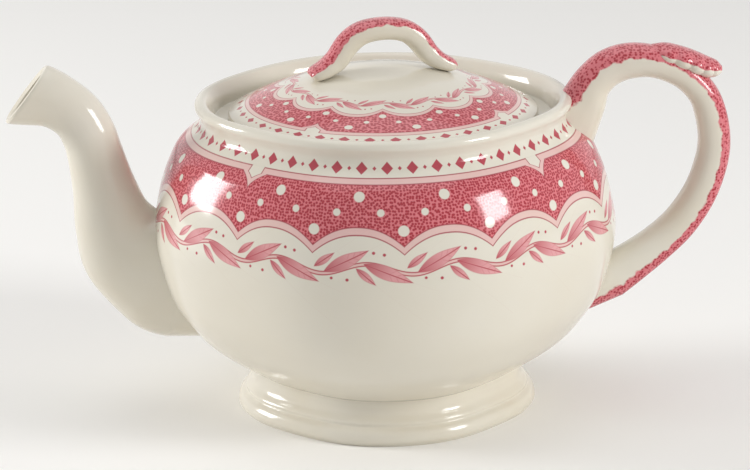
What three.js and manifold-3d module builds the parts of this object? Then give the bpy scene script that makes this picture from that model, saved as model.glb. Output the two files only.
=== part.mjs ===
// A glazed earthenware teapot, printed in pink: a low four-lobed bowl on a flared foot, a gallery collar
// that hides the edge of the lid, an S-curved spout, a looped handle with a leaf thumb rest, and a domed
// lid with a bridge knob. Millimetres, +Z up, spout towards -X, handle towards +X, origin under the foot.
import * as THREE from "three";
import { mergeVertices } from "three/addons/utils/BufferGeometryUtils.js";
import Module from "manifold-3d";

const wasm = await Module();
wasm.setup();

// Driving dimensions of the pot
const BELLY_RADIUS = 77.0; // widest radius of the bowl, on the crown of a lobe
const BELLY_HEIGHT = 59.0; // height of that widest ring
const WALL = 4.2; // cast wall of the bowl
const FOOT_TOP = 14.0; // where the bowl is luted to the foot
const FOOT_JOINT_RADIUS = 44.5; // outer radius of that joint
const FOOT_RADIUS = 50.0; // spread of the foot on the table
const FOOT_WALL = 5.0; // wall of the foot ring at the joint
const FOOT_RECESS = 3.6; // width of the ground rim that the pot stands on
const NECK_HEIGHT = 95.0; // where the bowl meets the collar
const NECK_RADIUS = 63.6; // outer radius at that joint
const COLLAR_HEIGHT = 11.0; // collar above the joint
const COLLAR_WALL = 3.6;
const COLLAR_WAIST = 3.0; // how far the collar is drawn in below its lip
const LIP_RADIUS = 62.4; // outer radius of the lip
const LOBES = 4;
const LOBE_DEPTH = 3.0; // groove between two lobes, at the belly
const COLLAR_LOBE_DEPTH = 2.0; // the same at the collar
const FOOT_LOBE_DEPTH = 2.0; // the same at the foot

// Driving dimensions of the lid
const SEAT_RISE = 3.6; // the ledge that the lid rests on, above the neck joint
const SEAT_WIDTH = 8.2; // the ledge, from the collar to the mouth
const BOWL_SETBACK = 3.4; // the bowl's mouth is this much wider than the ledge's, on the radius
const LID_PLAY = 2.8; // the lid's edge to the ledge's outer edge
const LID_EDGE = 2.8; // thickness of the lid at its edge
const LID_RISE = 13.9; // dome above the edge
const LID_WALL = 3.8;
const LID_GAP = 0.25; // lid to seat
const FLANGE_DROP = 8.0; // locating flange below the lid
const FLANGE_WALL = 3.0;
const FLANGE_CLEARANCE = 0.9; // flange to mouth, on the radius
const LID_TURN = THREE.MathUtils.degToRad(12); // how the lid is set down
const VENT_RADIUS = 1.8;
const VENT_REACH = 19.0; // vent behind the middle of the lid
const KNOB_SPAN = 46.0; // between the toes of the bridge knob
const KNOB_RISE = 16.4; // knob above the dome
const KNOB_DEPTH = 9.6; // across the strap
const KNOB_THICKNESS = 7.2;

// Spout, handle and leaf
const SPOUT_WALL = 3.0;
const STRAINER_HOLE_RADIUS = 1.9;
const STRAINER_PITCH = 8.0;
const STRAINER_HEIGHT = 50.0; // middle of the strainer
const HANDLE_DEPTH = 13.0; // across the strap
const LEAF_LIFT = 0.3;
const JOINT_GAP = 0.3; // between two luted pieces whose joint is curved
const SEGMENTS = 48; // facets round the pot
const LID_SEGMENTS = 40;

const collarInner = NECK_RADIUS - COLLAR_WAIST - COLLAR_WALL;
const seatOuter = collarInner - 0.6 - COLLAR_LOBE_DEPTH - JOINT_GAP;
const seatHeight = NECK_HEIGHT + SEAT_RISE;
const mouthRadius = seatOuter - SEAT_WIDTH;
const lidRadius = seatOuter - LID_PLAY;

const creamGlaze = { color: 0xe6e0d2, roughness: 0.18, metalness: 0.0 };
const pinkPrint = { color: 0xc9606f, roughness: 0.2, metalness: 0.0 };
const bareBiscuit = { color: 0xd9cfbb, roughness: 0.6, metalness: 0.0 };

// Solids and meshes

function toSolid(geometry) {
  const bare = geometry.clone();
  bare.deleteAttribute("normal");
  bare.deleteAttribute("uv");
  const merged = mergeVertices(bare, 1e-4);
  return new wasm.Manifold(
    new wasm.Mesh({
      numProp: 3,
      vertProperties: merged.attributes.position.array,
      triVerts: new Uint32Array(merged.index.array),
    }),
  );
}

function toMesh(name, solid, look) {
  const cut = solid.getMesh();
  const geometry = new THREE.BufferGeometry();
  geometry.setAttribute("position", new THREE.BufferAttribute(cut.vertProperties, 3));
  geometry.setIndex(new THREE.BufferAttribute(cut.triVerts, 1));
  const mesh = new THREE.Mesh(geometry, new THREE.MeshStandardMaterial(look));
  mesh.name = name;
  return mesh;
}

// The groove between two lobes, 0 on a lobe's crown and 1 at the joint of two lobes.
function groove(angle) {
  return Math.pow(Math.abs(Math.sin((LOBES * angle) / 2)), 4);
}

// Revolves a closed outline of [radius, height] points about Z. lobeDepthAt gives the groove's depth at
// a radius and height.
function turned(outline, segments, lobeDepthAt = () => 0) {
  const points = outline.map(([radius, height]) => new THREE.Vector2(radius, height));
  points.push(points[0].clone());
  if (THREE.ShapeUtils.area(points) < 0) points.reverse();
  const geometry = new THREE.LatheGeometry(points, segments);
  geometry.rotateX(Math.PI / 2);
  const position = geometry.attributes.position;
  for (let i = 0; i < position.count; i++) {
    const radius = Math.hypot(position.getX(i), position.getY(i));
    if (radius < 1e-3) continue;
    const angle = Math.atan2(position.getY(i), position.getX(i));
    const shrink = 1 - (lobeDepthAt(radius, position.getZ(i)) * groove(angle)) / radius;
    position.setX(i, position.getX(i) * shrink);
    position.setY(i, position.getY(i) * shrink);
  }
  return toSolid(geometry);
}

// A smooth run of [radius, height] points through a few guide points.
function smoothRun(guides, steps) {
  const curve = new THREE.SplineCurve(guides.map(([x, y]) => new THREE.Vector2(x, y)));
  return curve.getPoints(steps).map((p) => [p.x, p.y]);
}

// Lofts oval sections along a path in the XZ plane. Each station is [x, z, half thickness in the plane,
// half depth across it]; the sections stand square to the path. power above 2 squares the oval.
function lofted(stations, sides, steps, power = 2) {
  const path = new THREE.CatmullRomCurve3(
    stations.map(([x, z]) => new THREE.Vector3(x, 0, z)), false, "centripetal");
  const sizes = new THREE.CatmullRomCurve3(
    stations.map(([, , thick, deep]) => new THREE.Vector3(thick, deep, 0)), false, "centripetal");
  const vertices = [];
  for (let i = 0; i <= steps; i++) {
    const t = i / steps;
    const middle = path.getPoint(t);
    const along = path.getTangent(t);
    const across = new THREE.Vector3(-along.z, 0, along.x);
    const size = sizes.getPoint(t);
    for (let k = 0; k < sides; k++) {
      const turn = (2 * Math.PI * k) / sides;
      const c = Math.cos(turn);
      const s = Math.sin(turn);
      const flat = Math.pow(Math.abs(c) ** power + Math.abs(s) ** power, -1 / power);
      const point = middle.clone().addScaledVector(across, size.x * c * flat);
      point.y = size.y * s * flat;
      vertices.push(point.x, point.y, point.z);
    }
  }
  const faces = [];
  for (let i = 0; i < steps; i++) {
    for (let k = 0; k < sides; k++) {
      const a = i * sides + k;
      const b = i * sides + ((k + 1) % sides);
      faces.push(a, b, a + sides, b, b + sides, a + sides);
    }
  }
  const startPoint = path.getPoint(0);
  const endPoint = path.getPoint(1);
  const start = vertices.length / 3;
  vertices.push(startPoint.x, 0, startPoint.z, endPoint.x, 0, endPoint.z);
  for (let k = 0; k < sides; k++) {
    const next = (k + 1) % sides;
    faces.push(start, next, k);
    faces.push(start + 1, steps * sides + k, steps * sides + next);
  }
  const geometry = new THREE.BufferGeometry();
  geometry.setAttribute("position", new THREE.BufferAttribute(new Float32Array(vertices), 3));
  geometry.setIndex(faces);
  const solid = toSolid(geometry);
  if (solid.volume() > 0) return solid;
  const turnedFaces = [];
  for (let i = 0; i < faces.length; i += 3) turnedFaces.push(faces[i], faces[i + 2], faces[i + 1]);
  geometry.setIndex(turnedFaces);
  return toSolid(geometry);
}

// The bowl

// Outer run of the bowl, from the foot joint up over the belly to the neck. grow moves it outwards.
function bowlOutside(grow) {
  const belly = BELLY_RADIUS + grow;
  const guides = [
    [FOOT_JOINT_RADIUS + grow, FOOT_TOP - grow],
    [belly - 18.2, 23.6 - 0.6 * grow],
    [belly - 10.6, 31.6 - 0.4 * grow],
    [belly - 4.0, 42.5],
    [belly, BELLY_HEIGHT],
    [belly - 1.2, 70.5],
    [belly - 3.6, 80.0],
    [belly - 6.9, 88.0 + 0.4 * grow],
    [belly - 9.4, 91.6 + 0.6 * grow],
    [NECK_RADIUS + grow, NECK_HEIGHT],
  ];
  return smoothRun(guides, 20);
}

function bowlInside() {
  const belly = BELLY_RADIUS - WALL;
  const guides = [
    [mouthRadius + BOWL_SETBACK, NECK_HEIGHT],
    [mouthRadius + BOWL_SETBACK + 1.6, NECK_HEIGHT - 3.2],
    [mouthRadius + BOWL_SETBACK + 8.6, NECK_HEIGHT - 5.0],
    [belly - 7.6, 85.5],
    [belly - 3.4, 78.0],
    [belly - 0.4, 68.0],
    [belly, BELLY_HEIGHT],
    [belly - 4.6, 42.5],
    [belly - 11.8, 32.0],
    [belly - 23.0, 23.5],
    [FOOT_JOINT_RADIUS - 14.0, FOOT_TOP + WALL + 0.6],
    [0, FOOT_TOP + WALL],
  ];
  return smoothRun(guides, 18);
}

// Groove depth on the bowl: full at the belly, easing to the collar's and the foot's.
function bowlLobe(radius, height) {
  const up = Math.max(0, (height - BELLY_HEIGHT) / (NECK_HEIGHT - BELLY_HEIGHT));
  const down = Math.max(0, (BELLY_HEIGHT - height) / (BELLY_HEIGHT - FOOT_TOP));
  const outer = LOBE_DEPTH + (COLLAR_LOBE_DEPTH - LOBE_DEPTH) * up - (LOBE_DEPTH - FOOT_LOBE_DEPTH) * down;
  return outer * THREE.MathUtils.smoothstep(radius, 0.3 * FOOT_JOINT_RADIUS, FOOT_JOINT_RADIUS);
}

function bowlSolid() {
  const outline = [[0, FOOT_TOP], ...bowlOutside(0), ...bowlInside()];
  return turned(outline, SEGMENTS, bowlLobe);
}

// The bowl and collar as one full block, a joint gap larger, which cuts the roots of spout and handle.
function rootCutter() {
  const outline = [[0, FOOT_TOP], ...bowlOutside(JOINT_GAP)];
  outline.push([NECK_RADIUS + JOINT_GAP, NECK_HEIGHT]);
  outline.push(...collarOutside(JOINT_GAP));
  outline.push([0, NECK_HEIGHT + COLLAR_HEIGHT + JOINT_GAP]);
  return turned(outline, SEGMENTS, bowlLobe);
}

// Holes pierced in the bowl's wall behind the spout, one in the middle and two rings round it.
function strainerHoles() {
  const reach = 2 * BELLY_RADIUS;
  const hole = new THREE.CylinderGeometry(STRAINER_HOLE_RADIUS, STRAINER_HOLE_RADIUS, reach, 12);
  hole.rotateZ(Math.PI / 2);
  const places = [[0, 0]];
  for (let k = 0; k < 6; k++) {
    const turn = (k * Math.PI) / 3;
    places.push([STRAINER_PITCH * Math.sin(turn), STRAINER_PITCH * Math.cos(turn)]);
  }
  const holes = places.map(([across, up]) => {
    const one = hole.clone();
    one.translate(-reach / 2, across, STRAINER_HEIGHT + up);
    return toSolid(one);
  });
  return holes.reduce((all, one) => all.add(one));
}

// The foot

function footRing() {
  const outline = [
    [FOOT_JOINT_RADIUS, FOOT_TOP],
    [FOOT_JOINT_RADIUS - FOOT_WALL, FOOT_TOP],
    [FOOT_JOINT_RADIUS - 3.4, 6.0],
    [FOOT_RADIUS - FOOT_RECESS - 0.8, 1.2],
    [FOOT_RADIUS - FOOT_RECESS, 0],
    [FOOT_RADIUS - 1.2, 0],
    [FOOT_RADIUS, 1.4],
    [FOOT_RADIUS - 0.2, 3.4],
    [FOOT_RADIUS - 1.8, 5.0],
    [FOOT_RADIUS - 2.6, 6.4],
    [FOOT_RADIUS - 4.6, 9.4],
    [FOOT_JOINT_RADIUS + 0.4, 12.2],
  ];
  return turned(outline, SEGMENTS, () => FOOT_LOBE_DEPTH);
}

// The collar and the seat of the lid

function collarOutside(grow) {
  const lip = LIP_RADIUS + grow;
  const top = NECK_HEIGHT + COLLAR_HEIGHT;
  return smoothRun([
    [NECK_RADIUS + grow, NECK_HEIGHT],
    [NECK_RADIUS - 0.75 * COLLAR_WAIST + grow, NECK_HEIGHT + 2.3],
    [NECK_RADIUS - COLLAR_WAIST + grow, NECK_HEIGHT + 4.6],
    [NECK_RADIUS - 0.8 * COLLAR_WAIST + grow, top - 4.4],
    [lip, top - 2.4],
    [lip - 0.5, top - 0.8 + 0.5 * grow],
    [lip - 2.0, top + grow],
  ], 12);
}

function collar() {
  const top = NECK_HEIGHT + COLLAR_HEIGHT;
  const outline = [
    ...collarOutside(0),
    [LIP_RADIUS - 4.0, top - 0.9],
    [collarInner, top - 3.4],
    [collarInner - 0.6, seatHeight - 1.0],
    [collarInner - 0.6, NECK_HEIGHT],
  ];
  return turned(outline, SEGMENTS, () => COLLAR_LOBE_DEPTH);
}

function lidSeat() {
  const outline = [
    [seatOuter, NECK_HEIGHT],
    [seatOuter, seatHeight],
    [mouthRadius + 0.6, seatHeight],
    [mouthRadius, seatHeight - 0.6],
    [mouthRadius, NECK_HEIGHT],
  ];
  return turned(outline, LID_SEGMENTS);
}

// The lid

const lidBottom = seatHeight + LID_GAP;
const lidEdgeTop = lidBottom + LID_EDGE;

function domeAt(radius) {
  const share = radius / (lidRadius - 1.0);
  return lidEdgeTop + LID_RISE * (1 - Math.pow(share, 2) * (1.12 - 0.12 * share));
}

function lidCover() {
  const outline = [[0, domeAt(0) - LID_WALL]];
  const under = mouthRadius - FLANGE_CLEARANCE - FLANGE_WALL;
  for (let k = 1; k <= 6; k++) {
    const radius = (under * k) / 6;
    outline.push([radius, Math.max(domeAt(radius) - LID_WALL, lidBottom)]);
  }
  outline.push([under, lidBottom], [lidRadius - 0.8, lidBottom], [lidRadius, lidBottom + 0.8]);
  outline.push([lidRadius, lidEdgeTop - 0.9], [lidRadius - 1.0, lidEdgeTop]);
  for (let k = 9; k >= 0; k--) {
    const radius = (lidRadius - 3.0) * (k / 9);
    outline.push([radius, domeAt(radius)]);
  }
  const vent = new THREE.CylinderGeometry(VENT_RADIUS, VENT_RADIUS, 4 * LID_RISE, 16);
  vent.rotateX(Math.PI / 2);
  vent.translate(0, VENT_REACH, lidBottom + 2 * LID_RISE);
  return turned(outline, LID_SEGMENTS).subtract(toSolid(vent));
}

function lidFlange() {
  const outer = mouthRadius - FLANGE_CLEARANCE;
  const bottom = lidBottom - FLANGE_DROP;
  const outline = [
    [outer, lidBottom],
    [outer - FLANGE_WALL, lidBottom],
    [outer - FLANGE_WALL, bottom + 0.8],
    [outer - FLANGE_WALL + 0.8, bottom],
    [outer - 1.0, bottom],
    [outer - 0.2, bottom + 0.8],
  ];
  return turned(outline, LID_SEGMENTS);
}

function lidKnob() {
  const half = KNOB_SPAN / 2;
  const dome = domeAt(0);
  const thin = KNOB_THICKNESS / 2;
  const deep = KNOB_DEPTH / 2;
  const crest = dome + KNOB_RISE - thin;
  const leg = [
    [half + 0.6, domeAt(half) + 0.6, thin * 0.5, deep * 0.9],
    [half - 3.6, dome + 0.6, thin * 0.8, deep * 1.1],
    [half - 7.4, dome + 3.6, thin, deep],
    [half - 11.0, dome + 8.4, thin * 1.05, deep],
    [half - 15.0, crest - 1.3, thin * 1.02, deep],
    [3.0, crest, thin, deep * 1.04],
  ];
  const stations = leg.map(([x, z, thick, wide]) => [-x, z, thick, wide]);
  stations.push(...leg.reverse());
  const cutter = [[0, lidBottom]];
  cutter.push([lidRadius, lidBottom]);
  for (let k = 9; k >= 0; k--) {
    const radius = lidRadius * (k / 9);
    cutter.push([radius, domeAt(radius) + JOINT_GAP]);
  }
  return lofted(stations, 12, 26, 2.4).subtract(turned(cutter, LID_SEGMENTS));
}

// The spout

// Middle of the spout, with its half thickness in the plane of the pot and half width across it.
const spoutStations = [
  [-58.0, 46.0, 21.0, 17.5],
  [-66.0, 46.5, 23.0, 17.0],
  [-74.0, 49.0, 22.6, 15.5],
  [-85.0, 56.2, 18.0, 13.2],
  [-90.2, 65.2, 13.5, 11.4],
  [-93.0, 76.5, 10.7, 10.2],
  [-95.6, 88.0, 9.3, 9.2],
  [-97.6, 95.0, 9.0, 8.8],
  [-101.4, 101.6, 8.9, 8.6],
  [-108.3, 106.7, 9.5, 8.6],
  [-117.0, 109.2, 11.9, 9.0],
  [-124.5, 110.5, 12.5, 9.0],
];

function spout(cutter) {
  const outside = lofted(spoutStations, 24, 28);
  const bore = spoutStations.map(([x, z, thick, deep]) => [x, z, thick - SPOUT_WALL, deep - SPOUT_WALL]);
  const inside = lofted(bore, 18, 28);
  // The mouth is sliced off on a slope, from the tip of the lip up to the back of the bend.
  const slice = new THREE.BoxGeometry(60, 60, 80);
  slice.translate(-30, 0, 0);
  slice.rotateY(THREE.MathUtils.degToRad(38));
  slice.translate(-116.6, 0, 108.8);
  return outside.subtract(inside).subtract(toSolid(slice)).subtract(cutter);
}

// The handle

const handleStations = [
  [59.0, 90.0, 11.0, 8.8],
  [62.5, 96.0, 9.6, 8.4],
  [65.2, 102.5, 7.6, 7.8],
  [69.0, 108.5, 6.4, 7.0],
  [75.0, 113.4, 6.1, HANDLE_DEPTH / 2],
  [82.3, 115.6, 5.8, HANDLE_DEPTH / 2],
  [90.7, 114.9, 5.2, HANDLE_DEPTH / 2],
  [99.7, 110.6, 4.8, HANDLE_DEPTH / 2],
  [106.0, 104.3, 5.0, HANDLE_DEPTH / 2],
  [109.0, 97.0, 5.3, HANDLE_DEPTH / 2],
  [110.3, 88.0, 5.4, HANDLE_DEPTH / 2],
  [109.2, 79.5, 5.5, HANDLE_DEPTH / 2],
  [105.5, 69.3, 5.6, HANDLE_DEPTH / 2],
  [99.0, 59.5, 5.8, HANDLE_DEPTH / 2],
  [91.0, 52.0, 6.1, HANDLE_DEPTH / 2],
  [81.3, 45.0, 6.9, HANDLE_DEPTH / 2 + 0.9],
  [74.0, 40.6, 7.8, HANDLE_DEPTH / 2 + 1.8],
  [66.0, 36.2, 9.0, HANDLE_DEPTH / 2 + 2.6],
  [58.0, 32.0, 10.0, HANDLE_DEPTH / 2 + 3.0],
];

function handle(cutter) {
  return lofted(handleStations, 16, 34, 2.3).subtract(cutter);
}

function thumbLeaf() {
  const stations = [
    [88.0, 120.8, 1.4, 3.6],
    [94.0, 119.6, 2.2, 5.8],
    [100.0, 117.4, 2.4, 6.4],
    [106.0, 114.9, 2.3, 5.6],
    [111.2, 113.5, 1.6, 3.2],
  ];
  const grown = handleStations.map(([x, z, thick, deep]) => [x, z, thick + LEAF_LIFT, deep + LEAF_LIFT]);
  return lofted(stations, 14, 16).subtract(lofted(grown, 16, 34, 2.3));
}

const rootCut = rootCutter();
const pot = new THREE.Group();
pot.add(toMesh("bowl", bowlSolid().subtract(strainerHoles()), creamGlaze));
pot.add(toMesh("foot_ring", footRing(), creamGlaze));
pot.add(toMesh("gallery_collar", collar(), creamGlaze));
pot.add(toMesh("lid_seat", lidSeat(), creamGlaze));
pot.add(toMesh("spout", spout(rootCut), creamGlaze));
pot.add(toMesh("handle", handle(rootCut), creamGlaze));
pot.add(toMesh("thumb_leaf", thumbLeaf(), pinkPrint));

const lid = new THREE.Group();
lid.rotation.z = LID_TURN;
lid.add(toMesh("lid_cover", lidCover(), creamGlaze));
lid.add(toMesh("lid_flange", lidFlange(), bareBiscuit));
lid.add(toMesh("lid_knob", lidKnob(), pinkPrint));
pot.add(lid);

// The origin lies under the middle of the whole teapot, between the spout's lip and the handle's back.
const reach = new THREE.Box3().setFromObject(pot);
pot.position.x = -(reach.min.x + reach.max.x) / 2;
const teapot = new THREE.Group();
teapot.add(pot);

export default teapot;
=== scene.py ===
import math

import bpy
from mathutils import Matrix, Vector


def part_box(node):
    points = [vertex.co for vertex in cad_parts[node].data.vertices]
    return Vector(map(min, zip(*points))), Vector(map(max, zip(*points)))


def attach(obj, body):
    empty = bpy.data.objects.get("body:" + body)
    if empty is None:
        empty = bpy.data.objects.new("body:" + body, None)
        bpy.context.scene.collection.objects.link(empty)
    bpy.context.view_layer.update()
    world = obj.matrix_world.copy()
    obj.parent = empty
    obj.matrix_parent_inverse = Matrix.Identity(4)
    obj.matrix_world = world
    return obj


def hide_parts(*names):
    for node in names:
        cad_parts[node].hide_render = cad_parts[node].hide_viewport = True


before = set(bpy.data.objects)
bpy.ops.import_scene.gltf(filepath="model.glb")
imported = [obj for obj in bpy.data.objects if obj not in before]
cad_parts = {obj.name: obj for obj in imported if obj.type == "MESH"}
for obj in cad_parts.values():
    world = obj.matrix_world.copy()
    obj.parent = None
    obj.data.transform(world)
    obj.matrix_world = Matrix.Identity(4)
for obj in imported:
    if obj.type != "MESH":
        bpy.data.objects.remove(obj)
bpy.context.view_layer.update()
MM = 0.001

# The camera stands a little to the spout's side of square and looks down on the lid at about sixteen
# degrees, through a long lens. The picture leans a trifle to the right.
bowl_low, bowl_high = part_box("bowl")
AXIS_X = (bowl_low[0] + bowl_high[0]) / 2
CAMERA_REACH = 1.150
CAMERA_HEIGHT = 0.396
CAMERA_TURN = math.radians(2.5)
CAMERA_ROLL = math.radians(-0.8)
aim = Vector((AXIS_X - 0.0033, 0, 0.0577))
bpy.ops.object.camera_add(location=(
    aim.x - CAMERA_REACH * math.sin(CAMERA_TURN),
    -CAMERA_REACH * math.cos(CAMERA_TURN),
    CAMERA_HEIGHT,
))
camera = bpy.context.object
looking = (aim - camera.location).to_track_quat("-Z", "Y")
camera.rotation_euler = (looking.to_matrix() @ Matrix.Rotation(CAMERA_ROLL, 3, "Z")).to_euler()
camera.data.lens = 172
camera.data.sensor_width = 36
bpy.context.scene.camera = camera
bpy.context.scene.view_settings.view_transform = "Standard"

# Colours of the fired pot, as they look in even light. The cream is the clear lead glaze over pale clay,
# and the pinks and reds are one engraved print, dense or thin.


def fired(red, green, blue):
    """An sRGB colour of 0 to 255 as Blender's linear colour."""
    return tuple(((c / 255 + 0.055) / 1.055) ** 2.4 for c in (red, green, blue)) + (1.0,)


CREAM = fired(226, 221, 208)
CREAM_WARM = fired(221, 212, 192)
PRINT_GROUND = fired(217, 118, 126)
PRINT_DOT = fired(166, 34, 50)
RIBBON_PINK = fired(228, 188, 184)
LINE_RED = fired(164, 60, 73)
LEAF_PALE = fired(222, 158, 160)
LEAF_DARK = fired(178, 62, 76)


def put(tree, socket, value):
    """Sets a socket to a number or colour, or joins another node's output to it."""
    if isinstance(value, bpy.types.NodeSocket):
        tree.links.new(value, socket)
    else:
        socket.default_value = value


def reckon(tree, operation, *values, clamp=False):
    """A Math node on up to three values; returns its output."""
    node = tree.nodes.new("ShaderNodeMath")
    node.operation = operation
    node.use_clamp = clamp
    for socket, value in zip(node.inputs, values):
        put(tree, socket, value)
    return node.outputs[0]


def lay_over(tree, mask, under, over):
    """The colour over, where mask is 1, on the colour under."""
    node = tree.nodes.new("ShaderNodeMix")
    node.data_type = "RGBA"
    put(tree, node.inputs[0], mask)
    put(tree, node.inputs[6], under)
    put(tree, node.inputs[7], over)
    return node.outputs[2]


def inside(tree, distance, softness=0.3):
    """1 where the distance is below 0, in millimetres, with a soft edge."""
    return reckon(tree, "MULTIPLY_ADD", distance, -1 / softness, 0.5, clamp=True)


def new_group(name, takes, gives):
    """An empty shader group with number inputs and the named outputs; returns it and its two ends."""
    group = bpy.data.node_groups.new(name, "ShaderNodeTree")
    for label in takes:
        group.interface.new_socket(label, in_out="INPUT", socket_type="NodeSocketFloat")
    for label, kind in gives:
        group.interface.new_socket(label, in_out="OUTPUT", socket_type="NodeSocket" + kind)
    return group, group.nodes.new("NodeGroupInput"), group.nodes.new("NodeGroupOutput")


# The engraved leaf of the garland: a smooth pointed blade with a midrib, laid from its base to its tip.
# Around counts scallops and Height is in millimetres over the scallop's cusp.
PERIOD = 28.0
BEHIND = 0.2

leaf_group, leaf_in, leaf_out = new_group(
    "garland_leaf",
    ["Around", "Height", "Base Around", "Base Height", "Along", "Rise", "Half Width"],
    [("Mask", "Float"), ("Shade", "Float")],
)
t = leaf_group
from_base = reckon(t, "SUBTRACT", leaf_in.outputs["Around"], leaf_in.outputs["Base Around"])
from_base = reckon(t, "FRACT", reckon(t, "ADD", from_base, BEHIND))
leaf_x = reckon(t, "MULTIPLY", reckon(t, "SUBTRACT", from_base, BEHIND), PERIOD)
leaf_y = reckon(t, "SUBTRACT", leaf_in.outputs["Height"], leaf_in.outputs["Base Height"])
along, rise = leaf_in.outputs["Along"], leaf_in.outputs["Rise"]
length_squared = reckon(t, "ADD", reckon(t, "MULTIPLY", along, along), reckon(t, "MULTIPLY", rise, rise))
length = reckon(t, "SQRT", length_squared)
progress = reckon(t, "ADD", reckon(t, "MULTIPLY", leaf_x, along), reckon(t, "MULTIPLY", leaf_y, rise))
progress = reckon(t, "DIVIDE", progress, length_squared, clamp=True)
aside = reckon(t, "SUBTRACT", reckon(t, "MULTIPLY", leaf_x, rise), reckon(t, "MULTIPLY", leaf_y, along))
aside = reckon(t, "ABSOLUTE", reckon(t, "DIVIDE", aside, length))
fullest = reckon(t, "POWER", progress, 0.85)
blade = reckon(t, "SINE", reckon(t, "MULTIPLY", fullest, math.pi))
leaf_edge = reckon(t, "SUBTRACT", aside, reckon(t, "MULTIPLY", blade, leaf_in.outputs["Half Width"]))
leaf_edge = reckon(t, "ADD", leaf_edge, 0.1)
midrib = inside(t, reckon(t, "SUBTRACT", aside, 0.16), 0.25)
side_vein = reckon(t, "MULTIPLY_ADD", progress, 7.0, reckon(t, "MULTIPLY", aside, -0.45))
side_vein = reckon(t, "ABSOLUTE", reckon(t, "SUBTRACT", reckon(t, "FRACT", side_vein), 0.5))
side_vein = reckon(t, "MULTIPLY", inside(t, reckon(t, "SUBTRACT", side_vein, 0.08), 0.2), 0.3)
rim_line = reckon(t, "MULTIPLY", inside(t, reckon(t, "SUBTRACT", reckon(t, "ABSOLUTE", leaf_edge), 0.14)), 0.7)
base_shade = reckon(t, "MULTIPLY_ADD", progress, -1.5, 0.9, clamp=True)
shade = reckon(t, "MAXIMUM", reckon(t, "MAXIMUM", midrib, side_vein), reckon(t, "MAXIMUM", rim_line, base_shade))
put(t, leaf_out.inputs["Mask"], inside(t, leaf_edge))
put(t, leaf_out.inputs["Shade"], shade)

# The whole print in one group: the row of diamonds, the stippled band with its white dots and notches,
# the scalloped ribbon under it, and the leaf garland that hangs in each scallop.
ARCH_RISE = 6.2
BAND_TOP = 20.3
NOTCH_FOOT = 9.5
NOTCH_HALF = 6.2
RIBBON_WIDTH = 2.5
LINE_HALF = 0.2
DIAMOND_HEIGHT = 26.4
DIAMONDS_IN_PERIOD = 3
WHITE_DOTS = [(0.0, 5.0, 1.75), (0.5, 16.0, 1.8), (0.25, 10.8, 1.2), (0.75, 10.8, 1.2)]
BERRIES = [(0.67, -1.8, 0.5), (0.785, -2.4, 0.5), (0.22, -10.0, 0.45), (0.39, -10.4, 0.5)]
LEAVES = [
    (0.02, -6.8, 6.6, 5.0, 1.3),
    (0.13, -8.2, 14.0, 7.4, 2.3),
    (0.48, -6.6, 6.2, -5.6, 1.3),
    (0.56, -5.2, 15.0, -6.4, 2.3),
]
STIPPLE_PITCH = 0.98

print_group, print_in, print_out = new_group(
    "scalloped_print", ["Around", "Height", "Panel", "Fineness"], [("Color", "Color"), ("Print", "Float")])
t = print_group
around, height = print_in.outputs["Around"], print_in.outputs["Height"]


def round_distance(tree, place_around, place_height, radius):
    """Distance from the rim of a round dot that comes once in each scallop."""
    turn = reckon(tree, "FRACT", reckon(tree, "SUBTRACT", around, place_around - 0.5))
    across = reckon(tree, "MULTIPLY", reckon(tree, "SUBTRACT", turn, 0.5), PERIOD)
    up = reckon(tree, "SUBTRACT", height, place_height)
    squares = reckon(tree, "ADD", reckon(tree, "MULTIPLY", across, across), reckon(tree, "MULTIPLY", up, up))
    return reckon(tree, "SUBTRACT", reckon(tree, "SQRT", squares), radius)


def nearest(tree, distances):
    """The least of several distances."""
    least = distances[0]
    for distance in distances[1:]:
        least = reckon(tree, "MINIMUM", least, distance)
    return least


share = reckon(t, "FRACT", around)
to_cusp = reckon(t, "MULTIPLY", reckon(t, "ABSOLUTE", reckon(t, "SUBTRACT", share, 0.5)), 2.0)
arch = reckon(t, "MULTIPLY", reckon(t, "SUBTRACT", 1.0, reckon(t, "POWER", to_cusp, 2.2)), ARCH_RISE)
below_band = reckon(t, "SUBTRACT", arch, height)
above_band = reckon(t, "SUBTRACT", height, BAND_TOP)
panel = reckon(t, "FRACT", reckon(t, "DIVIDE", around, print_in.outputs["Panel"]))
from_joint = reckon(t, "SUBTRACT", 0.5, reckon(t, "ABSOLUTE", reckon(t, "SUBTRACT", panel, 0.5)))
from_joint = reckon(t, "MULTIPLY", reckon(t, "MULTIPLY", from_joint, print_in.outputs["Panel"]), PERIOD)
wedge = reckon(t, "DIVIDE", reckon(t, "SUBTRACT", height, NOTCH_FOOT), BAND_TOP - NOTCH_FOOT, clamp=True)
in_wedge = reckon(t, "SUBTRACT", reckon(t, "MULTIPLY", reckon(t, "POWER", wedge, 3.0), NOTCH_HALF), from_joint)
closed = reckon(t, "MINIMUM", reckon(t, "MULTIPLY_ADD", wedge, 8.0, -1.0), 0.0)
in_wedge = reckon(t, "SUBTRACT", reckon(t, "ADD", in_wedge, closed), 0.6)
from_band = reckon(t, "MAXIMUM", reckon(t, "MAXIMUM", below_band, above_band), in_wedge)
band = inside(t, from_band)
from_ribbon = reckon(t, "SUBTRACT", from_band, RIBBON_WIDTH)
lines = [reckon(t, "SUBTRACT", reckon(t, "ABSOLUTE", edge), LINE_HALF) for edge in (from_band, from_ribbon)]

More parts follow.
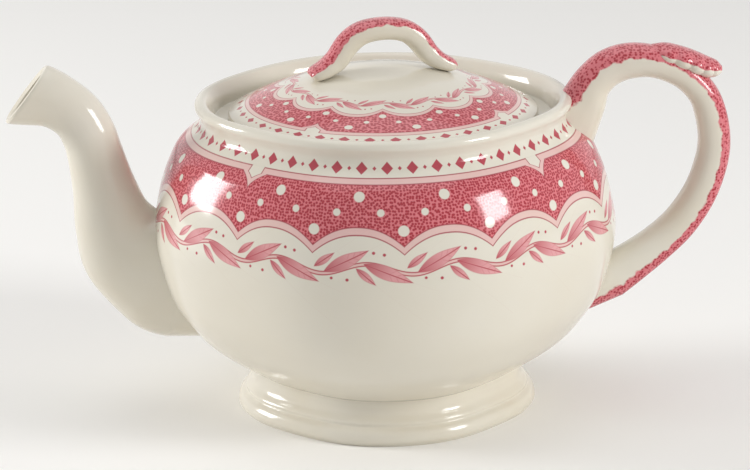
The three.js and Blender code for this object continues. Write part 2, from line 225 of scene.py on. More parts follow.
grain = t.nodes.new("ShaderNodeCombineXYZ")
fineness = print_in.outputs["Fineness"]
put(t, grain.inputs["X"], reckon(t, "MULTIPLY", reckon(t, "MULTIPLY", around, PERIOD), fineness))
put(t, grain.inputs["Y"], reckon(t, "MULTIPLY", height, fineness))
stipple = t.nodes.new("ShaderNodeTexVoronoi")
stipple.voronoi_dimensions = "2D"
stipple.inputs["Scale"].default_value = 1 / STIPPLE_PITCH
stipple.inputs["Randomness"].default_value = 0.7
put(t, stipple.inputs["Vector"], grain.outputs["Vector"])
specks = inside(t, reckon(t, "SUBTRACT", stipple.outputs["Distance"], 0.41), 0.2)
stippled = lay_over(t, specks, PRINT_GROUND, PRINT_DOT)

colour = lay_over(t, inside(t, from_ribbon), CREAM, RIBBON_PINK)
colour = lay_over(t, band, colour, stippled)
white = inside(t, nearest(t, [round_distance(t, *dot) for dot in WHITE_DOTS]))
colour = lay_over(t, reckon(t, "MULTIPLY", white, band), colour, CREAM)
marks = inside(t, nearest(t, lines))
colour = lay_over(t, marks, colour, LINE_RED)

STEM_MIDDLE = -7.0
STEM_SWING = 1.7
STEM_HALF = 0.55
sway = reckon(t, "SINE", reckon(t, "MULTIPLY", reckon(t, "SUBTRACT", share, 0.35), 2 * math.pi))
stem = reckon(t, "SUBTRACT", height, reckon(t, "MULTIPLY_ADD", sway, STEM_SWING, STEM_MIDDLE))
stem = reckon(t, "SUBTRACT", reckon(t, "ABSOLUTE", stem), STEM_HALF)
colour = lay_over(t, inside(t, stem), colour, RIBBON_PINK)
stem = reckon(t, "SUBTRACT", reckon(t, "ABSOLUTE", stem), 0.2)
stem = inside(t, nearest(t, [stem] + [round_distance(t, *berry) for berry in BERRIES]))
colour = lay_over(t, stem, colour, LEAF_DARK)
printed = reckon(t, "MAXIMUM", reckon(t, "MAXIMUM", band, marks), stem)
for base_around, base_height, leaf_along, leaf_rise, half_width in LEAVES:
    leaf = t.nodes.new("ShaderNodeGroup")
    leaf.node_tree = leaf_group
    values = [around, height, base_around, base_height, leaf_along, leaf_rise, half_width]
    for socket, value in zip(leaf.inputs, values):
        put(t, socket, value)
    leaf_colour = lay_over(t, leaf.outputs["Shade"], LEAF_PALE, LEAF_DARK)
    colour = lay_over(t, leaf.outputs["Mask"], colour, leaf_colour)
    printed = reckon(t, "MAXIMUM", printed, leaf.outputs["Mask"])

small = reckon(t, "FRACT", reckon(t, "MULTIPLY", around, DIAMONDS_IN_PERIOD))
small = reckon(t, "ABSOLUTE", reckon(t, "SUBTRACT", small, 0.5))
across = reckon(t, "MULTIPLY", small, PERIOD / DIAMONDS_IN_PERIOD)
between = reckon(t, "SUBTRACT", PERIOD / DIAMONDS_IN_PERIOD / 2, across)
up = reckon(t, "ABSOLUTE", reckon(t, "SUBTRACT", height, DIAMOND_HEIGHT))
diamond = reckon(t, "SUBTRACT", reckon(t, "ADD", across, up), 2.2)
bead = reckon(t, "SUBTRACT", reckon(t, "ADD", between, up), 0.75)
row = inside(t, reckon(t, "MINIMUM", diamond, bead))
colour = lay_over(t, row, colour, LEAF_DARK)
put(t, print_out.inputs["Color"], colour)
put(t, print_out.inputs["Print"], reckon(t, "MAXIMUM", printed, row))

# The clear glaze: cream that pools a little warmer here and there, with faint dimples that make the
# reflections waver, and a slightly duller skin where it ran thin.
glaze_group, glaze_in, glaze_out = new_group(
    "glaze_skin", [], [("Warmth", "Float"), ("Roughness", "Float"), ("Height", "Float")])
t = glaze_group
place = t.nodes.new("ShaderNodeTexCoord").outputs["Object"]
pooling = t.nodes.new("ShaderNodeTexNoise")
pooling.inputs["Scale"].default_value = 28
pooling.inputs["Detail"].default_value = 3
put(t, pooling.inputs["Vector"], place)
orange_peel = t.nodes.new("ShaderNodeTexNoise")
orange_peel.inputs["Scale"].default_value = 90
put(t, orange_peel.inputs["Vector"], place)
put(t, glaze_out.inputs["Warmth"], reckon(t, "MULTIPLY_ADD", pooling.outputs["Fac"], 2.0, -0.7, clamp=True))
put(t, glaze_out.inputs["Roughness"], reckon(t, "MULTIPLY_ADD", pooling.outputs["Fac"], 0.12, 0.06))
put(t, glaze_out.inputs["Height"], reckon(t, "ADD", orange_peel.outputs["Fac"], pooling.outputs["Fac"]))


def glazed(name):
    """A glazed earthenware material; returns it, its shader and the glaze group's node."""
    material = bpy.data.materials.new(name)
    material.use_nodes = True
    tree = material.node_tree
    shader = tree.nodes["Principled BSDF"]
    skin = tree.nodes.new("ShaderNodeGroup")
    skin.node_tree = glaze_group
    dimples = tree.nodes.new("ShaderNodeBump")
    dimples.inputs["Strength"].default_value = 0.12
    dimples.inputs["Distance"].default_value = 0.0006
    put(tree, dimples.inputs["Height"], skin.outputs["Height"])
    put(tree, shader.inputs["Roughness"], skin.outputs["Roughness"])
    put(tree, shader.inputs["Normal"], dimples.outputs["Normal"])
    return material, shader, skin


def print_material(name, panel_periods, fineness):
    """The glaze over the scalloped print, read from the piece's own map."""
    material, shader, skin = glazed(name)
    tree = material.node_tree
    where = tree.nodes.new("ShaderNodeUVMap")
    where.uv_map = "print"
    parts = tree.nodes.new("ShaderNodeSeparateXYZ")
    put(tree, parts.inputs[0], where.outputs["UV"])
    design = tree.nodes.new("ShaderNodeGroup")
    design.node_tree = print_group
    put(tree, design.inputs["Around"], parts.outputs["X"])
    put(tree, design.inputs["Height"], parts.outputs["Y"])
    put(tree, design.inputs["Panel"], panel_periods)
    put(tree, design.inputs["Fineness"], fineness)
    warm = reckon(tree, "MULTIPLY", skin.outputs["Warmth"], 0.45)
    bare = reckon(tree, "SUBTRACT", 1.0, design.outputs["Print"])
    tint = lay_over(tree, reckon(tree, "MULTIPLY", warm, bare), design.outputs["Color"], CREAM_WARM)
    put(tree, shader.inputs["Base Color"], tint)
    return material


cream_glaze, cream_shader, cream_skin = glazed("cream_glaze")
cream_tint = lay_over(cream_glaze.node_tree, cream_skin.outputs["Warmth"], CREAM, CREAM_WARM)
put(cream_glaze.node_tree, cream_shader.inputs["Base Color"], cream_tint)
pot_print = print_material("pot_print", 4.0, 1.0)

# The bowl is cast in a four-lobed mould, with the print laid on its shoulder before glazing. The wall
# behind the spout is pierced with seven strainer holes.
BELLY_RADIUS = 77.0
BELLY_HEIGHT = 59.0
WALL = 4.2
FOOT_TOP = 14.0
FOOT_JOINT_RADIUS = 44.5
NECK_HEIGHT = 95.0
NECK_RADIUS = 63.6
COLLAR_WAIST = 3.0
COLLAR_WALL = 3.6
LOBE_DEPTH = 3.0
COLLAR_LOBE_DEPTH = 2.0
FOOT_LOBE_DEPTH = 2.0
SEAT_WIDTH = 8.2
BOWL_SETBACK = 3.4
JOINT_GAP = 0.3
collar_inner = NECK_RADIUS - COLLAR_WAIST - COLLAR_WALL
seat_outer = collar_inner - 0.6 - COLLAR_LOBE_DEPTH - JOINT_GAP
MOUTH_RADIUS = seat_outer - SEAT_WIDTH
ROUND_STEPS = 192
PRINT_CUSP_HEIGHT = 75.5
SCALLOP_TURN = math.radians(22.5)
STRAINER_HEIGHT = 50.0
STRAINER_PITCH = 8.0
STRAINER_HOLE_RADIUS = 1.9


def smooth_run(guides, steps):
    """Points along a smooth curve through the guide points, which may have any number of values."""
    last = len(guides) - 1
    run = []
    for k in range(steps * last + 1):
        span = min(k // steps, last - 1)
        w = k / steps - span
        p0, p1 = guides[max(span - 1, 0)], guides[span]
        p2, p3 = guides[span + 1], guides[min(span + 2, last)]
        point = []
        for a, b, c, d in zip(p0, p1, p2, p3):
            v0, v1 = (c - a) / 2, (d - b) / 2
            point.append((2 * b - 2 * c + v0 + v1) * w**3 + (-3 * b + 3 * c - 2 * v0 - v1) * w**2 + v0 * w + b)
        run.append(tuple(point))
    return run


def spun(name, outline, lobe_depth=None):
    """Spins a closed outline of (radius, height) points, in millimetres, round the pot's axis, then
    presses the grooves between the four lobes into it."""
    bpy.ops.object.select_all(action="DESELECT")
    bpy.ops.mesh.primitive_plane_add(size=MM)
    piece = bpy.context.object
    piece.name = name
    piece.data.name = name
    bpy.ops.object.mode_set(mode="EDIT")
    bpy.ops.mesh.select_all(action="SELECT")
    bpy.ops.mesh.merge(type="CENTER")
    bpy.ops.transform.translate(value=(outline[0][0] * MM, 0, outline[0][1] * MM))
    for (r0, z0), (r1, z1) in zip(outline, outline[1:] + outline[:1]):
        step = ((r1 - r0) * MM, 0, (z1 - z0) * MM)
        bpy.ops.mesh.extrude_vertices_move(TRANSFORM_OT_translate={"value": step})
    bpy.ops.mesh.select_all(action="SELECT")
    bpy.ops.mesh.spin(steps=ROUND_STEPS, angle=2 * math.pi, center=(0, 0, 0), axis=(0, 0, 1))
    bpy.ops.mesh.select_all(action="SELECT")
    bpy.ops.mesh.remove_doubles(threshold=1e-6)
    bpy.ops.mesh.dissolve_degenerate(threshold=1e-7)
    bpy.ops.mesh.select_all(action="SELECT")
    bpy.ops.mesh.normals_make_consistent(inside=False)
    bpy.ops.object.mode_set(mode="OBJECT")
    if lobe_depth:
        for vertex in piece.data.vertices:
            radius = math.hypot(vertex.co.x, vertex.co.y) / MM
            if radius > 0.01:
                groove = math.sin(2 * math.atan2(vertex.co.y, vertex.co.x)) ** 4
                shrink = 1 - lobe_depth(radius, vertex.co.z / MM) * groove / radius
                vertex.co.x *= shrink
                vertex.co.y *= shrink
    return piece


def map_print(piece, scallop, printed_height, turn=0.0):
    """Writes the map that the print reads: scallops round the axis, and millimetres over the cusps.
    printed_height gives None on a face that the print doesn't cover."""
    layer = piece.data.uv_layers.new(name="print")
    for face in piece.data.polygons:
        middle = math.atan2(face.center.y, face.center.x)
        for corner in face.loop_indices:
            place = piece.data.vertices[piece.data.loops[corner].vertex_index].co
            angle = math.atan2(place.y, place.x)
            angle += 2 * math.pi * round((middle - angle) / (2 * math.pi))
            high = printed_height(face, place)
            layer.data[corner].uv = ((angle - turn) / scallop, -60.0 if high is None else high)


def seat_on_pot(piece, material, body, node_names, turn=0.0):
    """Sets a piece made round the world's middle on the pot's own axis, and gives it to its body."""
    place = Matrix.Translation((AXIS_X, 0, 0)) @ Matrix.Rotation(turn, 4, "Z")
    piece.data.transform(place)
    piece.data.materials.clear()
    piece.data.materials.append(material)
    bpy.ops.object.select_all(action="DESELECT")
    piece.select_set(True)
    bpy.context.view_layer.objects.active = piece
    bpy.ops.object.shade_smooth_by_angle(angle=math.radians(40))
    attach(piece, body)
    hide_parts(*node_names)


def bowl_lobe(radius, height):
    up = max(0.0, (height - BELLY_HEIGHT) / (NECK_HEIGHT - BELLY_HEIGHT))
    down = max(0.0, (BELLY_HEIGHT - height) / (BELLY_HEIGHT - FOOT_TOP))
    depth = LOBE_DEPTH + (COLLAR_LOBE_DEPTH - LOBE_DEPTH) * up - (LOBE_DEPTH - FOOT_LOBE_DEPTH) * down
    ease = min(max((radius - 0.3 * FOOT_JOINT_RADIUS) / (0.7 * FOOT_JOINT_RADIUS), 0), 1)
    return depth * ease * ease * (3 - 2 * ease)


bowl_outside = smooth_run([
    (FOOT_JOINT_RADIUS, FOOT_TOP),
    (BELLY_RADIUS - 18.2, 23.6),
    (BELLY_RADIUS - 10.6, 31.6),
    (BELLY_RADIUS - 4.0, 42.5),
    (BELLY_RADIUS, BELLY_HEIGHT),
    (BELLY_RADIUS - 1.2, 70.5),
    (BELLY_RADIUS - 3.6, 80.0),
    (BELLY_RADIUS - 6.9, 88.0),
    (BELLY_RADIUS - 9.4, 91.6),
    (NECK_RADIUS, NECK_HEIGHT),
], 8)
inner_belly = BELLY_RADIUS - WALL
bowl_inside = smooth_run([
    (MOUTH_RADIUS + BOWL_SETBACK, NECK_HEIGHT),
    (MOUTH_RADIUS + BOWL_SETBACK + 1.6, NECK_HEIGHT - 3.2),
    (MOUTH_RADIUS + BOWL_SETBACK + 8.6, NECK_HEIGHT - 5.0),
    (inner_belly - 7.6, 85.5),
    (inner_belly - 3.4, 78.0),
    (inner_belly - 0.4, 68.0),
    (inner_belly, BELLY_HEIGHT),
    (inner_belly - 4.6, 42.5),
    (inner_belly - 11.8, 32.0),
    (inner_belly - 23.0, 23.5),
    (FOOT_JOINT_RADIUS - 14.0, FOOT_TOP + WALL + 0.6),
    (0.0, FOOT_TOP + WALL),
], 6)
POT_TURN = math.radians(2)
bowl = spun("bowl_shell", [(0.0, FOOT_TOP)] + bowl_outside + bowl_inside, bowl_lobe)
strainer = []
for k in range(7):
    turn = (k - 1) * math.pi / 3
    reach = STRAINER_PITCH * MM if k else 0.0
    bpy.ops.mesh.primitive_cylinder_add(
        vertices=24, radius=STRAINER_HOLE_RADIUS * MM, depth=0.03, rotation=(0, math.pi / 2, 0),
        location=(-BELLY_RADIUS * MM + 0.003, reach * math.sin(turn), STRAINER_HEIGHT * MM + reach * math.cos(turn)))
    strainer.append(bpy.context.object)
for hole in strainer:
    cut = bowl.modifiers.new("strainer", "BOOLEAN")
    cut.operation = "DIFFERENCE"
    cut.solver = "EXACT"
    cut.object = hole
    bpy.context.view_layer.objects.active = bowl
    bpy.ops.object.modifier_apply(modifier=cut.name)
for hole in strainer:
    bpy.data.objects.remove(hole, do_unlink=True)


COLLAR_HEIGHT = 11.0
LIP_RADIUS = 62.4
collar_top = NECK_HEIGHT + COLLAR_HEIGHT
collar_outside = smooth_run([
    (NECK_RADIUS, NECK_HEIGHT),
    (NECK_RADIUS - 0.75 * COLLAR_WAIST, NECK_HEIGHT + 2.3),
    (NECK_RADIUS - COLLAR_WAIST, NECK_HEIGHT + 4.6),
    (NECK_RADIUS - 0.8 * COLLAR_WAIST, collar_top - 4.4),
    (LIP_RADIUS, collar_top - 2.4),
    (LIP_RADIUS - 0.5, collar_top - 0.8),
    (LIP_RADIUS - 2.0, collar_top),
], 5)
outside_run = bowl_outside + collar_outside[1:]


def along_outside(height, wanted):
    """At a height, in millimetres, the pot's outer radius or the distance walked up its outside."""
    walked = 0.0
    for (r0, z0), (r1, z1) in zip(outside_run, outside_run[1:]):
        step = math.hypot(r1 - r0, z1 - z0)
        if z1 >= height > z0 or (z1 >= height and wanted == "radius"):
            part = min(max((height - z0) / (z1 - z0), 0.0), 1.0)
            return r0 + (r1 - r0) * part if wanted == "radius" else walked + step * part
        walked += step
    return outside_run[-1][0] if wanted == "radius" else walked


cusp_walk = along_outside(PRINT_CUSP_HEIGHT, "walk")


def outside_height(face, place):
    """The print lies on faces that look away from the axis, measured up the curve of the shoulder."""
    outwards = Vector((face.center.x, face.center.y, 0)).normalized()
    if face.normal.dot(outwards) < 0.25:
        return None
    return along_outside(place.z / MM, "walk") - cusp_walk


map_print(bowl, SCALLOP_TURN, outside_height, turn=math.radians(45))
seat_on_pot(bowl, pot_print, "pot", ["bowl"], POT_TURN)

# The collar stands round the lid like the gallery of a plate and hides its edge. Its foot carries the
# row of diamonds, and inside it is the ledge that the lid rests on, in one casting with it.
SEAT_RISE = 3.6
SEAT_HEIGHT = NECK_HEIGHT + SEAT_RISE
collar_outline = collar_outside + smooth_run([
    (LIP_RADIUS - 3.0, collar_top - 0.2),
    (LIP_RADIUS - 4.0, collar_top - 0.9),
    (collar_inner, collar_top - 3.4),
    (collar_inner - 0.6, SEAT_HEIGHT + 1.0),
], 4)
collar_outline += [
    (collar_inner - 0.9, SEAT_HEIGHT + 0.3),
    (collar_inner - 1.6, SEAT_HEIGHT),
    (MOUTH_RADIUS + 0.6, SEAT_HEIGHT),
    (MOUTH_RADIUS + 0.2, SEAT_HEIGHT - 0.2),
    (MOUTH_RADIUS, SEAT_HEIGHT - 0.6),
    (MOUTH_RADIUS, NECK_HEIGHT),
]


def collar_lobe(radius, height):
    """The lobes show on the collar and die away before the round mouth."""
    ease = min(max((radius - MOUTH_RADIUS - 5.0) / (collar_inner - MOUTH_RADIUS - 6.6), 0), 1)
    return COLLAR_LOBE_DEPTH * ease


collar = spun("collar_and_seat", collar_outline, collar_lobe)
map_print(collar, SCALLOP_TURN, outside_height, turn=math.radians(45))
seat_on_pot(collar, pot_print, "pot", ["gallery_collar", "lid_seat"], POT_TURN)

# The foot is a separate flared ring with stepped mouldings, luted under the bowl. The rim that stands on
# the table was wiped clean of glaze, but here the whole foot has the cream glaze.
FOOT_RADIUS = 50.0
foot_outline = smooth_run([
    (FOOT_JOINT_RADIUS, FOOT_TOP),
    (FOOT_JOINT_RADIUS + 0.3, 12.4),
    (FOOT_RADIUS - 4.4, 9.6),
    (FOOT_RADIUS - 2.6, 7.4),
    (FOOT_RADIUS - 2.5, 6.2),
    (FOOT_RADIUS - 0.9, 4.9),
    (FOOT_RADIUS - 0.1, 3.2),
    (FOOT_RADIUS, 1.6),
    (FOOT_RADIUS - 1.2, 0.0),
], 5)
foot_outline += [
    (FOOT_RADIUS - 3.6, 0.0),
    (FOOT_RADIUS - 4.4, 1.2),
    (FOOT_JOINT_RADIUS - 3.4, 6.0),
    (FOOT_JOINT_RADIUS - 5.0, FOOT_TOP),
]
foot = spun("foot_moulding", foot_outline, lambda radius, height: FOOT_LOBE_DEPTH)
seat_on_pot(foot, cream_glaze, "pot", ["foot_ring"], POT_TURN)

# The spout is cast hollow, broad where it is luted over the strainer holes, and drawn in to a swan's neck
# with a mouth that is cut on a slope.
SPOUT_WALL = 2.8
SPOUT_SIDES = 64
spout_stations = [
    (-67.5, 46.9, 22.8, 16.8),
    (-74.0, 49.0, 22.6, 15.5),
    (-85.0, 56.2, 18.0, 13.2),
    (-90.2, 65.2, 13.5, 11.4),
    (-93.0, 76.5, 10.7, 10.2),
    (-95.6, 88.0, 9.3, 9.2),
    (-97.6, 95.0, 9.0, 8.8),
    (-101.4, 101.6, 8.9, 8.6),
    (-108.3, 106.7, 9.5, 8.6),
    (-117.0, 109.0, 11.9, 9.0),
]
MOUTH_SLOPE = math.atan2(0.613, -0.79)


def section_ring(x, z, thick, deep, heading, sides, power=2.0):
    """A ring of points square to a heading in the pot's middle plane."""
    ring = []
    for k in range(sides):
        turn = 2 * math.pi * k / sides
        c, s = math.cos(turn), math.sin(turn)
        flat = (abs(c) ** power + abs(s) ** power) ** (-1 / power)
        up, aside = thick * c * flat, deep * s * flat
        ring.append((MM * (x - up * math.sin(heading)), MM * aside, MM * (z + up * math.cos(heading))))
    return ring


def root_ring(middle, half_height, half_depth, side, sides, sink=2.0):
    """A ring pressed onto the outside of the pot, where a spout or handle is luted. side is 1 towards the
    handle and -1 towards the spout; the ring starts at its top for a piece that leaves the pot upwards."""
    ring = []
    for k in range(sides):
        turn = 2 * math.pi * k / sides
        z = middle + half_height * math.cos(turn)
        aside = abs(half_depth) * math.sin(turn)
        reach = math.sqrt((along_outside(z, "radius") - sink) ** 2 - aside**2)
        ring.append((MM * side * reach, MM * aside, MM * z))
    return ring


def headings(run):
    """The direction of travel at each point of a run, as an angle in the middle plane."""
    found = []
    for k in range(len(run)):
        before, after = run[max(k - 1, 0)], run[min(k + 1, len(run) - 1)]
        found.append(math.atan2(after[1] - before[1], after[0] - before[0]))
    return found


def skinned(name, rings, closed_ends=True, endless=False):
    """A mesh skinned over rings of points; the run may close its ends or run back into itself."""
    sides = len(rings[0])
    points = [point for ring in rings for point in ring]
    faces = []
    pairs = len(rings) if endless else len(rings) - 1
    for i in range(pairs):
        j = (i + 1) % len(rings)
        for k in range(sides):
            m = (k + 1) % sides
            faces.append((i * sides + k, i * sides + m, j * sides + m, j * sides + k))
    if closed_ends and not endless:
        faces.append(tuple(range(sides))[::-1])
        faces.append(tuple((len(rings) - 1) * sides + k for k in range(sides)))
    mesh = bpy.data.meshes.new(name)
    mesh.from_pydata(points, [], faces)
    piece = bpy.data.objects.new(name, mesh)
    bpy.context.scene.collection.objects.link(piece)
    layer = mesh.uv_layers.new(name="print")
    for face in mesh.polygons:
        sides_in_face = [mesh.loops[corner].vertex_index % sides for corner in face.loop_indices]
        wraps = max(sides_in_face) - min(sides_in_face) > sides / 2
        for corner, side in zip(face.loop_indices, sides_in_face):
            ring_number = mesh.loops[corner].vertex_index // sides
            layer.data[corner].uv = ((side + (sides if wraps and side == 0 else 0)) / sides, ring_number / len(rings))
    bpy.ops.object.select_all(action="DESELECT")
    piece.select_set(True)
    bpy.context.view_layer.objects.active = piece
    bpy.ops.object.mode_set(mode="EDIT")
    bpy.ops.mesh.select_all(action="SELECT")
    bpy.ops.mesh.normals_make_consistent(inside=False)
    bpy.ops.object.mode_set(mode="OBJECT")
    return piece


spout_run = smooth_run(spout_stations, 8)
spout_heads = headings(spout_run)
BLEND_IN = 14
for k in range(BLEND_IN):
    share_left = k / BLEND_IN
    spout_heads[-1 - k] = MOUTH_SLOPE * (1 - share_left) + spout_heads[-1 - k] * share_left
root_outer = root_ring(47.2, -22.6, 17.6, -1, SPOUT_SIDES)
root_inner = root_ring(47.2, -22.6 + SPOUT_WALL, 17.6 - SPOUT_WALL, -1, SPOUT_SIDES)
outer_rings = [root_outer] + [section_ring(*p, h, SPOUT_SIDES) for p, h in zip(spout_run, spout_heads)]
x, z, thick, deep = spout_run[-1]
lip_rings = []
for rise_mm, narrower in [(0.7, 0.35), (0.9, 1.0), (0.6, 1.7)]:
    lip_rings.append(section_ring(
        x + rise_mm * math.cos(MOUTH_SLOPE), z + rise_mm * math.sin(MOUTH_SLOPE),
        thick - narrower, deep - narrower, MOUTH_SLOPE, SPOUT_SIDES))
inner_rings = []
for (x, z, thick, deep), h in list(zip(spout_run, spout_heads))[::-1]:
    inner_rings.append(section_ring(x, z, thick - SPOUT_WALL, deep - SPOUT_WALL, h, SPOUT_SIDES))
inner_rings.append(root_inner)
spout = skinned("spout_cast", outer_rings + lip_rings + inner_rings, endless=True)
seat_on_pot(spout, cream_glaze, "pot", ["spout"])

# The handle is a pressed strap, luted to the collar and to the belly. Its back is printed with the same
# stipple, which thins out raggedly towards the plain cream sides.
handle_stations = [
    (66.6, 102.6, 7.6, 7.8),
    (69.6, 108.5, 6.4, 7.0),
    (75.0, 113.4, 6.1, 6.5),
    (82.3, 115.6, 5.8, 6.5),
    (90.7, 114.9, 5.2, 6.5),
    (99.7, 110.6, 4.8, 6.5),
    (106.0, 104.3, 5.0, 6.5),
    (109.0, 97.0, 5.3, 6.5),
    (110.3, 88.0, 5.4, 6.5),
    (109.2, 79.5, 5.5, 6.5),
    (105.5, 69.3, 5.6, 6.5),
    (99.0, 59.5, 5.8, 6.5),
    (91.0, 52.0, 6.1, 6.6),
    (82.0, 45.4, 6.8, 7.3),
    (76.0, 41.6, 7.5, 8.2),
]
HANDLE_SIDES = 48
BACK_TURN = 0.2


def strap_material(name, scallops, half_turn):
    """Stipple on a strap's back over cream, with a ragged, slightly scalloped edge."""
    material, shader, skin = glazed(name)
    tree = material.node_tree
    where = tree.nodes.new("ShaderNodeUVMap")
    where.uv_map = "print"
    parts = tree.nodes.new("ShaderNodeSeparateXYZ")
    put(tree, parts.inputs[0], where.outputs["UV"])
    from_back = reckon(tree, "ABSOLUTE", reckon(tree, "SUBTRACT", parts.outputs["X"], 0.5))
    from_back = reckon(tree, "SUBTRACT", 0.5, from_back)
    wave = reckon(tree, "ABSOLUTE", reckon(tree, "SINE", reckon(
        tree, "MULTIPLY", parts.outputs["Y"], scallops * math.pi)))
    edge = reckon(tree, "MULTIPLY_ADD", wave, 0.015, half_turn - 0.045)
    ragged = tree.nodes.new("ShaderNodeTexNoise")
    ragged.inputs["Scale"].default_value = 320
    ragged.inputs["Detail"].default_value = 3
    edge = reckon(tree, "MULTIPLY_ADD", ragged.outputs["Fac"], 0.07, edge)
    from_edge = reckon(tree, "MULTIPLY", reckon(tree, "SUBTRACT", from_back, edge), 40.0)
    place = tree.nodes.new("ShaderNodeTexCoord")
    dots = tree.nodes.new("ShaderNodeTexVoronoi")
    dots.inputs["Scale"].default_value = 1000 / STIPPLE_PITCH
    dots.inputs["Randomness"].default_value = 0.75
    put(tree, dots.inputs["Vector"], place.outputs["Object"])
    put(tree, ragged.inputs["Vector"], place.outputs["Object"])
    specks_here = inside(tree, reckon(tree, "SUBTRACT", dots.outputs["Distance"], 0.44), 0.22)
    pink = lay_over(tree, specks_here, PRINT_GROUND, PRINT_DOT)
    cream = lay_over(tree, skin.outputs["Warmth"], CREAM, CREAM_WARM)
    put(tree, shader.inputs["Base Color"], lay_over(tree, inside(tree, from_edge, 0.6), cream, pink))
    return material


handle_run = smooth_run(handle_stations, 10)
handle_rings = [root_ring(95.5, 9.6, 8.8, 1, HANDLE_SIDES)]
handle_rings += [section_ring(*p, h, HANDLE_SIDES, 2.4) for p, h in zip(handle_run, headings(handle_run))]
handle_rings.append(root_ring(36.6, -9.2, 9.6, 1, HANDLE_SIDES))
handle = skinned("handle_strap", handle_rings)
seat_on_pot(handle, strap_material("handle_print", 24, BACK_TURN), "pot", ["handle"])

# The thumb rest is a leaf moulded on the shoulder of the handle, with its tip lifted clear.
leaf_stations = [
    (86.0, 118.6, 1.6, 3.0),
    (93.0, 117.9, 3.4, 6.4),
    (100.0, 115.6, 3.9, 7.2),
    (106.0, 113.2, 3.7, 6.6),
    (110.4, 112.2, 2.8, 4.6),
    (112.4, 112.0, 1.2, 2.2),
]
leaf_run = smooth_run(leaf_stations, 8)
leaf_rings = []
for count, (point, heading) in enumerate(zip(leaf_run, headings(leaf_run))):
    x, z, thick, deep = point
    lobed = deep * (0.88 + 0.12 * abs(math.sin(count * math.pi / 6)))
    leaf_rings.append(section_ring(x, z, thick, lobed, heading, 32))
thumb_leaf = skinned("thumb_rest_leaf", leaf_rings)
seat_on_pot(thumb_leaf, strap_material("leaf_print", 6, 0.24), "pot", ["thumb_leaf"])

# The lid is a shallow dome that sits on the ledge inside the collar. The same print runs round it, with
# the scallops towards the middle, and a vent is pierced behind the knob.
LID_PLAY = 2.8
LID_RADIUS = seat_outer - LID_PLAY
LID_EDGE = 2.8
LID_RISE = 13.9
LID_WALL = 3.8
LID_GAP = 0.25
LID_TURN = math.radians(12)
VENT_RADIUS = 1.8
VENT_REACH = 19.0
FLANGE_OUTER = MOUTH_RADIUS - 0.9
FLANGE_WALL = 3.0
FLANGE_DROP = 8.0
LID_SCALLOP = math.radians(30)
LID_CUSP_RADIUS = 33.8
LID_PRINT_SCALE = 0.52
lid_bottom = SEAT_HEIGHT + LID_GAP
lid_edge_top = lid_bottom + LID_EDGE


def dome_at(radius):
    part = radius / (LID_RADIUS - 1.0)
    return lid_edge_top + LID_RISE * (1 - part**2 * (1.12 - 0.12 * part))


under_radius = FLANGE_OUTER - FLANGE_WALL
lid_outline = []
for k in range(17):
    r = under_radius * k / 16
    lid_outline.append((r, max(dome_at(r) - LID_WALL, lid_bottom)))
lid_outline += [
    (under_radius + 0.1, lid_bottom),
    (LID_RADIUS - 0.8, lid_bottom),
    (LID_RADIUS - 0.2, lid_bottom + 0.25),
    (LID_RADIUS, lid_bottom + 0.8),
    (LID_RADIUS, lid_edge_top - 0.9),
    (LID_RADIUS - 0.3, lid_edge_top - 0.3),
    (LID_RADIUS - 1.0, lid_edge_top),
]
for k in range(32, -1, -1):
    r = (LID_RADIUS - 3.0) * k / 32
    lid_outline.append((r, dome_at(r)))
lid_cover = spun("lid_dome", lid_outline)
bpy.ops.mesh.primitive_cylinder_add(
    vertices=32, radius=VENT_RADIUS * MM, depth=0.05, location=(0, VENT_REACH * MM, (lid_edge_top + LID_RISE) * MM))
vent = bpy.context.object
cut = lid_cover.modifiers.new("vent", "BOOLEAN")
cut.operation = "DIFFERENCE"
cut.solver = "EXACT"
cut.object = vent
bpy.context.view_layer.objects.active = lid_cover
bpy.ops.object.modifier_apply(modifier=cut.name)
bpy.data.objects.remove(vent, do_unlink=True)


def lid_height(face, place):
    """The print lies on the top of the lid, measured outwards from the scallops' cusps."""
    if face.normal.z < 0.05:
        return None
    return (math.hypot(place.x, place.y) / MM - LID_CUSP_RADIUS) / LID_PRINT_SCALE


map_print(lid_cover, LID_SCALLOP, lid_height, turn=math.radians(45))
seat_on_pot(lid_cover, print_material("lid_print", 3.0, 0.62), "lid", ["lid_cover"], LID_TURN)

# The flange under the lid drops inside the mouth and keeps the lid from sliding off. It is left unglazed.
bare_clay, clay_shader, clay_skin = glazed("bare_clay")
clay_tint = lay_over(bare_clay.node_tree, clay_skin.outputs["Warmth"], fired(214, 203, 180), fired(196, 178, 150))
put(bare_clay.node_tree, clay_shader.inputs["Base Color"], clay_tint)
for link in list(clay_shader.inputs["Roughness"].links):
    bare_clay.node_tree.links.remove(link)
clay_shader.inputs["Roughness"].default_value = 0.65
flange_bottom = lid_bottom - FLANGE_DROP
flange = spun("lid_flange_ring", [
    (FLANGE_OUTER, lid_bottom),
    (FLANGE_OUTER - FLANGE_WALL, lid_bottom),
    (FLANGE_OUTER - FLANGE_WALL, flange_bottom + 0.8),
    (FLANGE_OUTER - FLANGE_WALL + 0.3, flange_bottom + 0.2),
    (FLANGE_OUTER - FLANGE_WALL + 0.9, flange_bottom),
    (FLANGE_OUTER - 1.0, flange_bottom),
    (FLANGE_OUTER - 0.4, flange_bottom + 0.2),
    (FLANGE_OUTER - 0.2, flange_bottom + 0.8),
])
seat_on_pot(flange, bare_clay, "lid", ["lid_flange"], LID_TURN)

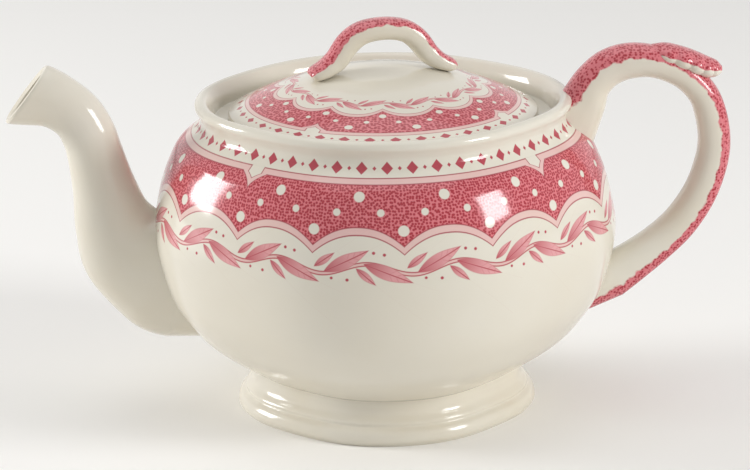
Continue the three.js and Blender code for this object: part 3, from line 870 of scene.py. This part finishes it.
# The knob is a strap of clay bent into a bridge, with its toes spread on the dome. Its top is stippled
# like the handle, and its sides are cream.
KNOB_HALF = 23.0
KNOB_RISE = 16.4
KNOB_THICK = 3.6
knob_dome = dome_at(0)
knob_crest = knob_dome + KNOB_RISE - KNOB_THICK
knob_half_stations = [
    (-KNOB_HALF - 1.4, knob_dome - 1.6, 1.2, 3.6),
    (-KNOB_HALF - 0.2, knob_dome - 0.8, 2.2, 4.9),
    (-KNOB_HALF + 3.6, knob_dome + 0.8, 2.9, 5.3),
    (-KNOB_HALF + 7.4, knob_dome + 3.6, 3.6, 4.8),
    (-KNOB_HALF + 11.0, knob_dome + 8.4, 3.8, 4.7),
    (-KNOB_HALF + 15.0, knob_crest - 1.3, 3.7, 4.8),
    (-3.0, knob_crest, KNOB_THICK, 5.0),
]
mirrored = [(-x, z, thick, deep) for x, z, thick, deep in knob_half_stations[::-1]]
knob_run = smooth_run(knob_half_stations + mirrored, 6)
knob_rings = [section_ring(*p, h, 40, 2.6) for p, h in zip(knob_run, headings(knob_run))]
knob = skinned("knob_bridge", knob_rings)
seat_on_pot(knob, strap_material("knob_print", 12, 0.17), "lid", ["lid_knob"], LID_TURN)

# The teapot stands on a plain pale table in soft studio light: a large soft lamp from the upper left, a
# smaller one from the right, and an even pale room.
FLOOR_TONE = fired(250, 249, 247)
bpy.ops.mesh.primitive_plane_add(size=12)
table = bpy.context.object
table.name = "table_top"
table_cloth = bpy.data.materials.new("table_paint")
table_cloth.use_nodes = True
table_shader = table_cloth.node_tree.nodes["Principled BSDF"]
table_shader.inputs["Base Color"].default_value = FLOOR_TONE
table_shader.inputs["Roughness"].default_value = 0.9
table.data.materials.append(table_cloth)

LAMPS = [
    ("window_left", (-1.25, 0.30, 0.42), 0.46, 11.0),
    ("window_right", (1.18, -0.55, 0.60), 0.42, 9.5),
    ("ceiling", (0.0, 0.2, 1.6), 1.4, 5.0),
]
for lamp_name, lamp_place, lamp_size, lamp_power in LAMPS:
    bpy.ops.object.light_add(type="AREA", location=lamp_place)
    lamp = bpy.context.object
    lamp.name = lamp_name
    lamp.data.shape = "SQUARE"
    lamp.data.size = lamp_size
    lamp.data.energy = lamp_power
    lamp.rotation_euler = (Vector((0, 0, 0.06)) - lamp.location).to_track_quat("-Z", "Y").to_euler()

ROOM_STRENGTH = 0.42
world = bpy.data.worlds.new("studio")
bpy.context.scene.world = world
world.use_nodes = True
room = world.node_tree
background = room.nodes["Background"]
background.inputs["Color"].default_value = FLOOR_TONE
ray = room.nodes.new("ShaderNodeLightPath")
seen = reckon(room, "ADD", ray.outputs["Is Camera Ray"], ray.outputs["Is Glossy Ray"])
seen = reckon(room, "ADD", seen, ray.outputs["Is Transmission Ray"], clamp=True)
put(room, background.inputs["Strength"], reckon(room, "MULTIPLY_ADD", seen, 1 - ROOM_STRENGTH, ROOM_STRENGTH))
